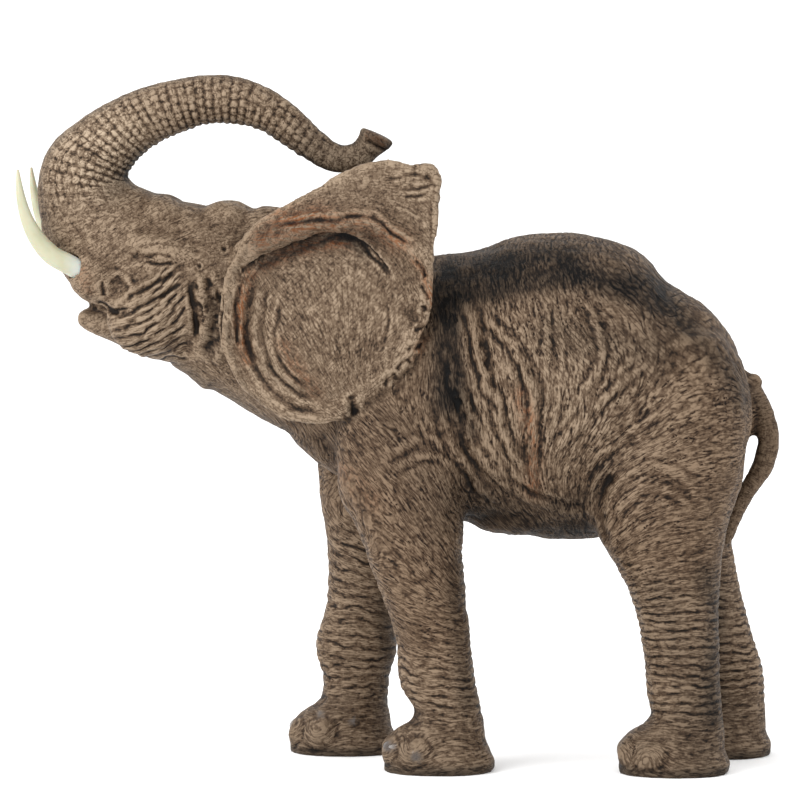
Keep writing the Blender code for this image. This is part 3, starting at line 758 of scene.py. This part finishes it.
# Streaks of rust and of painted shade and darkening in the paint, by their kind and the part of the skin that
# takes them: strength, the photograph's columns and rows, the depth y of the surface there, and half width in
# millimetres. The hide is all but the ears, and all is the whole skin.
STREAKS = (
    ("rust", "ear", (
        (1.0, (250, 244, 239, 240, 246), (275, 292, 312, 335, 360), -38, 2.4),
        (0.9, (262, 300, 335, 365, 400), (238, 226, 222, 224, 240), -40, 5.0),
        (0.9, (262, 290, 320, 345), (266, 253, 244, 242), -40, 3.0),
        (0.8, (416, 424, 431, 433), (259, 272, 288, 304), -42, 1.8),
        (0.8, (427, 424, 418), (330, 343, 356), -42, 2.2),
        (0.6, (279, 297, 320), (216, 214, 211), -38, 4.0),
        (0.6, (284, 300, 316), (345, 372, 390), -38, 3.2))),
    ("rust", "hide", (
        (0.8, (520, 530, 534, 532), (395, 425, 460, 495), -46, 3.4),
        (0.35, (340, 352, 372), (470, 480, 500), -40, 5.0))),
    ("rust", "head", ((0.5, (84, 88), (270, 288), -20, 2.6),)),
    ("rust", "trunk", ((0.8, (370, 376, 384), (134, 137, 143), 0, 2.2),)),
    # Painted shade and darkening on the hide: behind and below the ear, along the back and down its rear, on
    # the upper flank, under the belly, in the crease before the thigh, in the fold behind the cheek and down
    # the near hind leg
    ("soot", "hide", (
        (1.0, (470, 500, 530, 560, 600, 650), (292, 288, 280, 274, 282, 292), -36, 6.0),
        (1.0, (498, 516, 536, 556), (279, 274, 271, 270), -34, 5.0),
        (0.45, (560, 610, 660), (330, 340, 352), -42, 9.0),
        (0.7, (446, 452, 458, 468), (268, 320, 370, 430), -38, 5.0),
        (0.35, (480, 520, 570, 620), (255, 252, 246, 246), -15, 5.0),
        (0.75, (640, 690, 724, 742), (290, 330, 362, 400), -30, 6.0),
        (0.5, (470, 510, 550, 590), (520, 528, 534, 534), -30, 5.0),
        (0.55, (556, 580, 600, 604), (506, 500, 486, 470), -38, 4.0),
        (0.5, (180, 230, 280, 330), (372, 404, 434, 450), -14, 5.0),
        (0.5, (213, 215, 210), (300, 325, 350), -20, 3.2),
        (0.5, (478, 500, 530, 560), (275, 270, 266, 262), -25, 8.0),
        (0.3, (390, 420, 440), (420, 470, 520), -40, 12.0),
        (0.4, (660, 680, 700), (590, 650, 750), -40, 9.0),
        (0.55, (470, 520, 570), (490, 516, 524), -36, 10.0),
        (0.5, (444, 446, 448), (300, 360, 400), -36, 5.0),
        (0.4, (452, 500, 560, 620, 680), (262, 262, 256, 262, 300), -20, 9.0),
        (0.25, (480, 530, 590), (506, 524, 530), -30, 9.0),
        (0.75, (440, 442, 446), (290, 340, 400), -30, 7.0))),
    # Painted shade and darkening on the whole skin: down the rear edges of the near legs and beside the
    # trunk's root
    ("soot", "all", (
        (0.8, (706, 716, 712, 716), (570, 620, 670, 715), -26, 5.0),
        (0.6, (456, 458, 462, 468), (560, 600, 650, 700), -26, 4.0),
        (0.5, (112, 124, 136), (190, 178, 160), -10, 6.0))),
    # Painted shade down the rear edge of the far fore leg
    ("soot", "far_side", ((0.6, (380, 388, 392), (600, 640, 700), 20, 4.0),)),
    # Painted shade under the ear's overhanging fold
    ("soot", "ear", (
        (0.9, (258, 290, 320, 345, 366), (266, 251, 241, 238, 252), -40, 2.2),
        (0.62, (262, 300, 340, 380), (244, 232, 228, 236), -40, 5.0))),
    # Painted shade at the trunk's tip, along its crease
    ("soot", "trunk", ((0.5, (370, 378, 388), (134, 138, 146), 0, 1.8),)),
)


def stains_and_shade(skin):
    """Where the paint changes: how light the coat is, with a painted highlight on the trunk's root, how much
    rust it holds, how much painted shade and darkening lie on it, and where lines are scratched into it. A
    streak is a gaussian across a smooth curve, and the streaks of one kind add up."""
    x, y, z = skin.points.T
    field = skin.fields
    flat = skin.points[:, [0, 2]]
    ears = np.stack([field["ear_x"], field["ear_z"]], 1)
    ear, trunk = field["ear"], field["trunk"]
    places = {"ear": ear, "hide": 1 - ear, "head": field["head"], "trunk": trunk, "far_side": y > 0, "all": 1}

    stain_and_shade = {"rust": np.zeros(len(x)), "soot": np.zeros(len(x))}
    for name, place, streaks in STREAKS:
        points = ears if place == "ear" else flat
        for strong, u, v, depth, wide in streaks:
            gap, _ = distance_to_path(points, catmull(seen(u, v, depth), 4))
            stain_and_shade[name] += strong * hump(gap, wide) * places[place]
    # Painted shade also lies in the pinch at the ear's lowest point, on the soles and along the trunk's lower
    # edge, and the skin is darker on the ankles and tail, along the trunk's upper edge and on its last third
    soot = stain_and_shade["soot"] + 0.9 * spot(ears, 354, 411, -38, 2.8) * ear
    soot += 0.8 * smoothstep(5.5, 1.5, z) + 0.22 * smoothstep(34, 20, z) + 0.4 * field["tail"]
    soot += trunk * (0.35 * smoothstep(0.85, 1.2, field["turn"]) + 0.5 * smoothstep(-0.6, -1.2, field["turn"])
                     + 0.5 * smoothstep(108, 132, field["arc"]))
    # The coat is lighter on the ears, trunk and legs and on the flank, and on the head and cheek, where it is
    # partly a painted highlight; the spot on the trunk's root is a painted highlight, and the tail is darker
    light = 0.45 * ear + 0.42 * trunk + 0.3 * field["head"] + 0.45 * field["cheek"] + 0.2 * field["leg"]
    light += 0.4 * spot(flat, 560, 400, -44, 42) * (1 - ear)
    light += 0.8 * spot(flat, 104, 155, -14, 18) - 0.2 * field["tail"]
    field["rust"], field["soot"] = np.clip(stain_and_shade["rust"], 0, 1), np.clip(soot, 0, 1.25)
    field["light"] = skin.spread(np.clip(light, 0, 1), 6)

    # Two sets of scratched lines, each a coordinate in mm across them: the warp fans out from the ear's
    # lowest point, and the weft runs square to it. Round the ear's rim only the warp is left, and there it
    # follows the rim.
    away = ears - EAR_TIP
    below_fold = smoothstep(214, 206, ears[:, 1])
    ring = smoothstep(15, 8, field["rim"]) * below_fold
    fan = 34 * np.arctan2(away[:, 0], away[:, 1])
    slope = (x + z) * math.sqrt(0.5)
    field["warp"] = slope + ear * (fan + ring * (field["rim"] - fan) - slope)
    slant = (ears[:, 0] - ears[:, 1]) * math.sqrt(0.5)
    field["weft"] = z + ear * (slant - z) + field["head"] * (x - z)
    disc = ear * smoothstep(8, 14, field["rim"]) * below_fold
    rim = ear * smoothstep(14, 10, field["rim"]) * below_fold
    loin = hump(np.hypot(*((flat - seen(590, 320, -40)) / (1.6, 1)).T), 24) * (1 - ear)
    field["hatch"] = np.clip(disc + 0.5 * rim + 0.8 * loin, 0, 1)
    field["scribble"] = np.clip(trunk + 0.7 * field["tail"] + 0.8 * field["head"] + ear * (0.75 - 0.4 * disc),
                                0, 1)


def clear_sockets(skin):
    """Keeps the tusk sockets open: points nearer a tusk's axis than the socket's radius are pushed out to
    that distance, from the socket's floor to a little way in front of its mouth."""
    floor, front = -7.6, 9
    for side in (-1, 1):
        mouth, axis = TUSK_MOUTH * (1, side, 1), TUSK_AXIS * (1, side, 1)
        rel = skin.points - mouth
        along = rel @ axis
        out = rel - along[:, None] * axis
        r = np.maximum(np.linalg.norm(out, axis=1), 1e-6)
        close = (r < SOCKET_RADIUS) & (along > floor) & (along < front)
        skin.points[close] += (out * ((SOCKET_RADIUS - r) / r)[:, None])[close]


def carved_casting():
    """The painted casting: the node's copy remeshed, faired, split, carved, thinned and kept a little
    inside the solids' box."""
    skin = arrays_of(evaluated(node_copy("elephant_cast"), "fuse", "REMESH", mode="VOXEL",
                               voxel_size=COARSE_GRAIN * MM))
    skin.fair(14)
    regions(skin)
    flow(skin)
    skin = skin.split()
    skin.fair(2)
    carve(skin)
    stains_and_shade(skin)
    clear_sockets(skin)
    skin.fields = {name: skin.fields[name] for name in PAINT_FIELDS}
    triangles = 2 * len(skin.faces)
    mesh = evaluated(mesh_of(skin, "casting"), "thin_out", "DECIMATE", ratio=TRIANGLE_LIMIT / triangles)
    inset = 0.05 * MM
    low, high = np.array(cad_box[0]) + (inset, inset, 1e-6), np.array(cad_box[1]) - inset
    mesh.vertices.foreach_set("co", np.clip(coordinates(mesh), low, high).astype(np.float32).ravel())
    mesh.update()
    mesh.shade_smooth()
    return placed("carved_casting", mesh)


def smooth_tusk(node):
    """The cast tusk: the node's copy with its facets rounded by two subdivisions."""
    mesh = evaluated(node_copy(node), "round_off", "SUBSURF", levels=2, render_levels=2)
    mesh.shade_smooth()
    return placed("ivory_" + node, mesh)


def linear(code):
    """An sRGB hex colour as linear RGBA."""
    srgb = [int(code[i:i + 2], 16) / 255 for i in (1, 3, 5)]
    return (*[c / 12.92 if c <= 0.04045 else ((c + 0.055) / 1.055)**2.4 for c in srgb], 1.0)


def add(tree, kind, links=None, **settings):
    """Adds a node, sets its properties and its inputs' values, and links each input that is given as a
    node, which stands for its first output, or as a (node, output) pair."""
    made = tree.nodes.new(kind)
    for key, value in settings.items():
        setattr(made, key, value)
    for key, value in (links or {}).items():
        node, output = value if isinstance(value, tuple) and hasattr(value[0], "outputs") else (value, 0)
        if hasattr(node, "outputs"):
            tree.links.new(node.outputs[output], made.inputs[key])
        else:
            made.inputs[key].default_value = value
    return made


def new_material(name):
    """An empty material and its node tree."""
    made = bpy.data.materials.new(name)
    made.use_nodes = True
    made.node_tree.nodes.clear()
    return made, made.node_tree


def antiqued_polyresin():
    """Cold-cast polyresin under a flat paint: a dark wash lies in every cut and a taupe dry brush on the
    ridges, so the carving reads from a distance. The flat paint hardly shines, and the nails are
    varnished. A noise's scale is 1000 over its grain in millimetres."""
    made, tree = new_material("antiqued_polyresin")
    place = add(tree, "ShaderNodeTexCoord"), "Object"
    read = {name: (add(tree, "ShaderNodeAttribute", attribute_name=name), "Fac") for name in PAINT_FIELDS}
    slow = add(tree, "ShaderNodeMapRange", {"Value": read["pace"], "From Min": 1.15, "From Max": 0.7})
    fast = add(tree, "ShaderNodeMapRange", {"Value": read["pace"], "From Min": 1.4, "From Max": 2.0})

    def middle_lines(noise, wide):
        """1 away from the middle value of a noise and 0 on it, which draws thin dark lines."""
        centred = add(tree, "ShaderNodeMath", {0: noise, 1: 0.5}, operation="SUBTRACT")
        size = add(tree, "ShaderNodeMath", {0: centred}, operation="ABSOLUTE")
        return add(tree, "ShaderNodeMapRange", {"Value": size, "From Max": wide},
                   interpolation_type="SMOOTHSTEP")

    def strokes(across_mm, along_mm):
        """A noise stretched along the flow. Where the flow rises slowly a noise twice as fine takes over,
        and where it rises fast one twice as coarse. Scale also multiplies W, so W is divided by it."""
        noises = []
        for octave in (0.5, 1, 2):
            per_mm = octave / across_mm * along_mm / 1000
            turns = add(tree, "ShaderNodeMath", {0: read["flow"], 1: per_mm}, operation="MULTIPLY")
            noises.append(add(tree, "ShaderNodeTexNoise", {
                "Vector": place, "W": turns, "Scale": 1000 / along_mm, "Detail": 1.0, "Roughness": 0.55},
                noise_dimensions="4D"))
        coarse, even, fine = noises
        finer = add(tree, "ShaderNodeMix", {0: slow, 2: even, 3: fine})
        return add(tree, "ShaderNodeMix", {0: fast, 2: finer, 3: coarse})

    def hatching(coordinate, along_mm):
        """Cut lines 1.5 mm apart where the coordinate, in mm, is a whole number of steps, wavering by a
        third of a step and broken off by a noise."""
        waver = add(tree, "ShaderNodeTexNoise", {"Vector": place, "Scale": 1000 / along_mm, "Detail": 2.0})
        turns = add(tree, "ShaderNodeMath", {0: coordinate, 1: 1 / 1.5, 2: waver}, operation="MULTIPLY_ADD")
        saw = add(tree, "ShaderNodeMath", {0: turns, 1: 0.5}, operation="PINGPONG")
        cut = add(tree, "ShaderNodeMapRange", {"Value": saw, "From Min": 0.03, "From Max": 0.2})
        gaps = add(tree, "ShaderNodeTexNoise", {"Vector": place, "Scale": 2300 / along_mm, "Detail": 1.0})
        broken = add(tree, "ShaderNodeMapRange", {"Value": gaps, "From Min": 0.5, "From Max": 0.6})
        return add(tree, "ShaderNodeMath", {0: cut, 1: broken}, operation="MAXIMUM")

    # Brush strokes along the flow, and curling ones on the trunk and the head
    hair = add(tree, "ShaderNodeMapRange", {"Value": strokes(0.8, 2.8), "From Min": 0.38, "From Max": 0.62})
    curls = add(tree, "ShaderNodeTexNoise", {"Vector": place, "Scale": 460.0, "Detail": 2.0,
                                             "Distortion": 0.5})
    fine = add(tree, "ShaderNodeMix", {0: read["scribble"], 2: middle_lines(strokes(1.25, 5.5), 0.1),
                                       3: middle_lines(curls, 0.09)})
    # The warp lines show where hatch is above 0 and the weft lines only where it is above a half
    for name, along_mm, start in (("warp", 9.0, 0.0), ("weft", 7.0, 0.5)):
        bare = add(tree, "ShaderNodeMapRange", {"Value": read["hatch"], "From Min": start,
                                                "From Max": start + 0.5, "To Min": 1.0, "To Max": 0.0})
        shown = add(tree, "ShaderNodeMath", {0: hatching(read[name], along_mm), 1: bare}, operation="MAXIMUM")
        fine = add(tree, "ShaderNodeMath", {0: fine, 1: shown}, operation="MULTIPLY")

    # Height of the painted surface: the carved relief, which the lines cut to 0.36 of it at the least, with
    # grit 1 mm across and patches 17 mm across on it
    fine_share, hair_share = 0.55, 0.45
    grit = add(tree, "ShaderNodeTexNoise", {"Vector": place, "Scale": 1000.0, "Detail": 3.0})
    patch = add(tree, "ShaderNodeTexNoise", {"Vector": place, "Scale": 60.0, "Detail": 4.0})
    lines = add(tree, "ShaderNodeMath", {0: fine, 1: fine_share}, operation="MULTIPLY")
    lines = add(tree, "ShaderNodeMath", {0: hair, 1: hair_share, 2: lines}, operation="MULTIPLY_ADD")
    lines = add(tree, "ShaderNodeMapRange", {"Value": lines, "To Min": 0.36, "To Max": 1.0})
    height = add(tree, "ShaderNodeMath", {0: read["relief"], 1: lines}, operation="MULTIPLY")
    gritty = add(tree, "ShaderNodeMath", {0: grit, 1: 0.5, 2: height}, operation="MULTIPLY_ADD")
    gritty = add(tree, "ShaderNodeMath", {0: patch, 1: 0.35, 2: gritty}, operation="MULTIPLY_ADD")

    # The wash and the dry brush: the colour at each height, from the deepest cut to the highest ridge
    low, high = 0.45, 1.35
    shrink = add(tree, "ShaderNodeMapRange", {"Value": gritty, "From Min": low, "From Max": high})
    ramp = add(tree, "ShaderNodeValToRGB", {"Fac": shrink})
    stops = ((0.48, "#18110B"), (0.62, "#33281E"), (0.76, "#574738"), (0.92, "#716150"), (1.18, "#9B8A76"))
    band = ramp.color_ramp
    while len(band.elements) < len(stops):
        band.elements.new(0.5)
    for element, (at, code) in zip(band.elements, stops):
        element.position = (at - low) / (high - low)
        element.color = linear(code)

    # Rust and the painted shade lie unevenly: rust between the hairs of the brush, the painted shade and
    # darkening deepest in the cuts
    mottled = add(tree, "ShaderNodeMapRange", {"Value": patch, "From Min": 0.35, "From Max": 0.65,
                                               "To Min": 0.7, "To Max": 1.0})
    hollow = add(tree, "ShaderNodeMapRange", {"Value": height, "From Min": 0.15, "From Max": 0.6,
                                              "To Min": 1.0, "To Max": 0.75})
    shares = {}
    for stain_and_shade, uneven in (("rust", hair), ("soot", hollow)):
        uneven = add(tree, "ShaderNodeMath", {0: uneven, 1: mottled}, operation="MULTIPLY")
        shares[stain_and_shade] = add(tree, "ShaderNodeMath", {0: read[stain_and_shade], 1: uneven}, operation="MULTIPLY")
    darker_coat = add(tree, "ShaderNodeMath", {0: 1.0, 1: read["light"]}, operation="SUBTRACT")
    # The layers over the ramp, each by its share: a darker coat where the field light is low, rust, painted
    # shade and darkening, and the nails' varnished brown
    paint = ramp
    for share, code, mode in ((darker_coat, "#B9AFA7", "MULTIPLY"), (shares["rust"], "#D0853A", "MULTIPLY"),
                              (shares["soot"], "#241F1C", "MULTIPLY"), (read["nail"], "#3A3029", "MIX")):
        paint = add(tree, "ShaderNodeMix", {0: share, 6: paint, 7: linear(code)},
                    data_type="RGBA", blend_type=mode), 2

    bump = add(tree, "ShaderNodeBump", {"Height": gritty, "Strength": 1.0, "Distance": 0.5 * MM})
    shader = add(tree, "ShaderNodeBsdfPrincipled", {
        "Base Color": paint, "Roughness": 0.6, "Normal": bump, "IOR": 1.5, "Specular IOR Level": 0.1,
        "Coat Weight": read["nail"], "Coat Roughness": 0.06})
    add(tree, "ShaderNodeOutputMaterial", {"Surface": shader})
    return made


def ivory_resin():
    """Unfilled tinted resin, cast smooth and lightly waxed: pale ivory, a little light passes through it,
    with faint growth lines 2.4 mm apart along its length and a cooler white in the 8 mm next to the gum."""
    made, tree = new_material("ivory_tinted_resin")
    place = add(tree, "ShaderNodeTexCoord"), "Object"
    stretch = add(tree, "ShaderNodeMapping", {"Vector": place, "Scale": (120.0, 420.0, 120.0)})
    grain = add(tree, "ShaderNodeTexNoise", {"Vector": stretch, "Scale": 1.0, "Detail": 3.0})
    tint = add(tree, "ShaderNodeMix", {0: grain, 6: linear("#8E8C70"), 7: linear("#ACAB95")},
               data_type="RGBA")
    axes = add(tree, "ShaderNodeSeparateXYZ", {"Vector": place})
    gum = add(tree, "ShaderNodeMapRange", {"Value": (axes, "X"), "From Min": -0.134, "From Max": -0.126})
    tint = add(tree, "ShaderNodeMix", {0: gum, 6: (tint, 2), 7: linear("#A7ABA8")}, data_type="RGBA")
    bump = add(tree, "ShaderNodeBump", {"Height": grain, "Strength": 0.15, "Distance": 0.0002})
    shader = add(tree, "ShaderNodeBsdfPrincipled", {
        "Base Color": (tint, 2), "Roughness": 0.4, "IOR": 1.5, "Subsurface Weight": 0.35,
        "Subsurface Scale": 0.002, "Normal": bump})
    add(tree, "ShaderNodeOutputMaterial", {"Surface": shader})
    return made


def matt_white_paper():
    """Seamless studio paper: matt and nearly white."""
    made, tree = new_material("seamless_white_paper")
    shader = add(tree, "ShaderNodeBsdfPrincipled", {"Base Color": linear("#FEFEFE"), "Roughness": 0.9})
    add(tree, "ShaderNodeOutputMaterial", {"Surface": shader})
    return made


def area_light(name, place_m, aim_m, size_m, watts):
    """A round soft light at a place, turned to face the aim."""
    lamp = bpy.data.lights.new(name, "AREA")
    lamp.shape, lamp.size, lamp.energy = "DISK", size_m, watts
    obj = placed(name, lamp)
    obj.location = place_m
    obj.rotation_euler = (Vector(aim_m) - Vector(place_m)).to_track_quat("-Z", "Y").to_euler()


def studio():
    """A paper floor that runs to the horizon, a white surround, a broad key light from above on the trunk's
    side and a weaker fill from the tail's side. Sizes here are in metres."""
    mesh = bpy.data.meshes.new("paper_floor")
    reach = 40.0
    corners = [(-reach, -reach, 0), (reach, -reach, 0), (reach, reach, 0), (-reach, reach, 0)]
    mesh.from_pydata(corners, [], [(0, 1, 2, 3)])
    mesh.materials.append(matt_white_paper())
    floor = placed("paper_floor", mesh)
    world = bpy.data.worlds.new("white_surround")
    world.use_nodes = True
    sky = world.node_tree.nodes["Background"].inputs
    sky["Color"].default_value, sky["Strength"].default_value = (1, 1, 1, 1), 1.4
    bpy.context.scene.world = world
    middle_m = (0, 0, 0.14)
    area_light("key", (-1.05, -0.95, 1.05), middle_m, 1.3, 25)
    area_light("fill", (1.4, -1.2, 0.7), middle_m, 1.2, 5)
    bpy.context.scene.view_settings.view_transform = "Standard"


def camera():
    """The photograph's view: 3 degrees round towards the tail and 4 degrees up."""
    lens = bpy.data.cameras.new("photo_view")
    lens.sensor_width = 36
    lens.lens = lens.sensor_width * DISTANCE / (PHOTO_SIDE * PIXEL)
    obj = placed("photo_view", lens)
    obj.location = (AIM + BACK * DISTANCE) * MM
    obj.rotation_mode = "QUATERNION"
    obj.rotation_quaternion = Vector(-BACK).to_track_quat("-Z", "Y")
    bpy.context.scene.camera = obj


camera()
casting = carved_casting()
casting.data.materials.append(antiqued_polyresin())
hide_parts("elephant_cast")
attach(casting, "root")

tusk_finish = ivory_resin()
for node in ("left_tusk", "right_tusk"):
    tusk = smooth_tusk(node)
    tusk.data.materials.append(tusk_finish)
    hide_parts(node)
    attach(tusk, "root")

studio()
